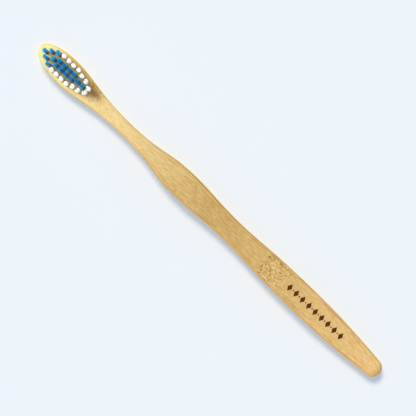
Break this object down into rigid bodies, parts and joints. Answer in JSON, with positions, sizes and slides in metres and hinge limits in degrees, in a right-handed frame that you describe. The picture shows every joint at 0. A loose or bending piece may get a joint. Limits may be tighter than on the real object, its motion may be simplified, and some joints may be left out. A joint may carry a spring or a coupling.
{
  "type": "manual toothbrush",
  "caption": "Manual toothbrush with a flat-backed waisted bamboo handle, and an oval head of round nylon tufts, blue in the middle and white along the sides.",
  "frame": {"origin": "on the handle's flat back, at half the brush's length, on its centreline", "axes": "+X from the head's end to the handle's end, +Z out of the bristle side, +Y across"},
  "size_m": [0.19, 0.0118, 0.015],
  "materials": {
    "bamboo": "sanded and waxed, satin",
    "blue_bristle": "nylon filament, satin",
    "white_bristle": "nylon filament, satin",
    "anchor_wire": "drawn flat wire, bright"
  },
  "bodies": {
    "root": {"anchor_wires_row_01": "anchor_wire", "anchor_wires_row_02": "anchor_wire", "anchor_wires_row_03": "anchor_wire", "anchor_wires_row_04": "anchor_wire", "anchor_wires_row_05": "anchor_wire", "anchor_wires_row_06": "anchor_wire", "anchor_wires_row_07": "anchor_wire", "anchor_wires_row_08": "anchor_wire", "anchor_wires_row_09": "anchor_wire", "anchor_wires_row_10": "anchor_wire", "bamboo_handle": "bamboo", "blue_tuft_01_middle": "blue_bristle", "blue_tuft_02_left": "blue_bristle", "blue_tuft_02_right": "blue_bristle", "blue_tuft_03_left": "blue_bristle", "blue_tuft_03_middle": "blue_bristle", "blue_tuft_03_right": "blue_bristle", "blue_tuft_04_mid_left": "blue_bristle", "blue_tuft_04_mid_right": "blue_bristle", "blue_tuft_05_mid_left": "blue_bristle", "blue_tuft_05_mid_right": "blue_bristle", "blue_tuft_06_mid_left": "blue_bristle", "blue_tuft_06_mid_right": "blue_bristle", "blue_tuft_07_mid_left": "blue_bristle", "blue_tuft_07_mid_right": "blue_bristle", "blue_tuft_08_middle": "blue_bristle", "blue_tuft_09_middle": "blue_bristle", "white_tuft_04_left": "white_bristle", "white_tuft_04_right": "white_bristle", "white_tuft_05_left": "white_bristle", "white_tuft_05_right": "white_bristle", "white_tuft_06_left": "white_bristle", "white_tuft_06_right": "white_bristle", "white_tuft_07_left": "white_bristle", "white_tuft_07_right": "white_bristle", "white_tuft_08_left": "white_bristle", "white_tuft_08_right": "white_bristle", "white_tuft_09_left": "white_bristle", "white_tuft_09_right": "white_bristle", "white_tuft_10_left": "white_bristle", "white_tuft_10_right": "white_bristle"}
  },
  "joints": []
}
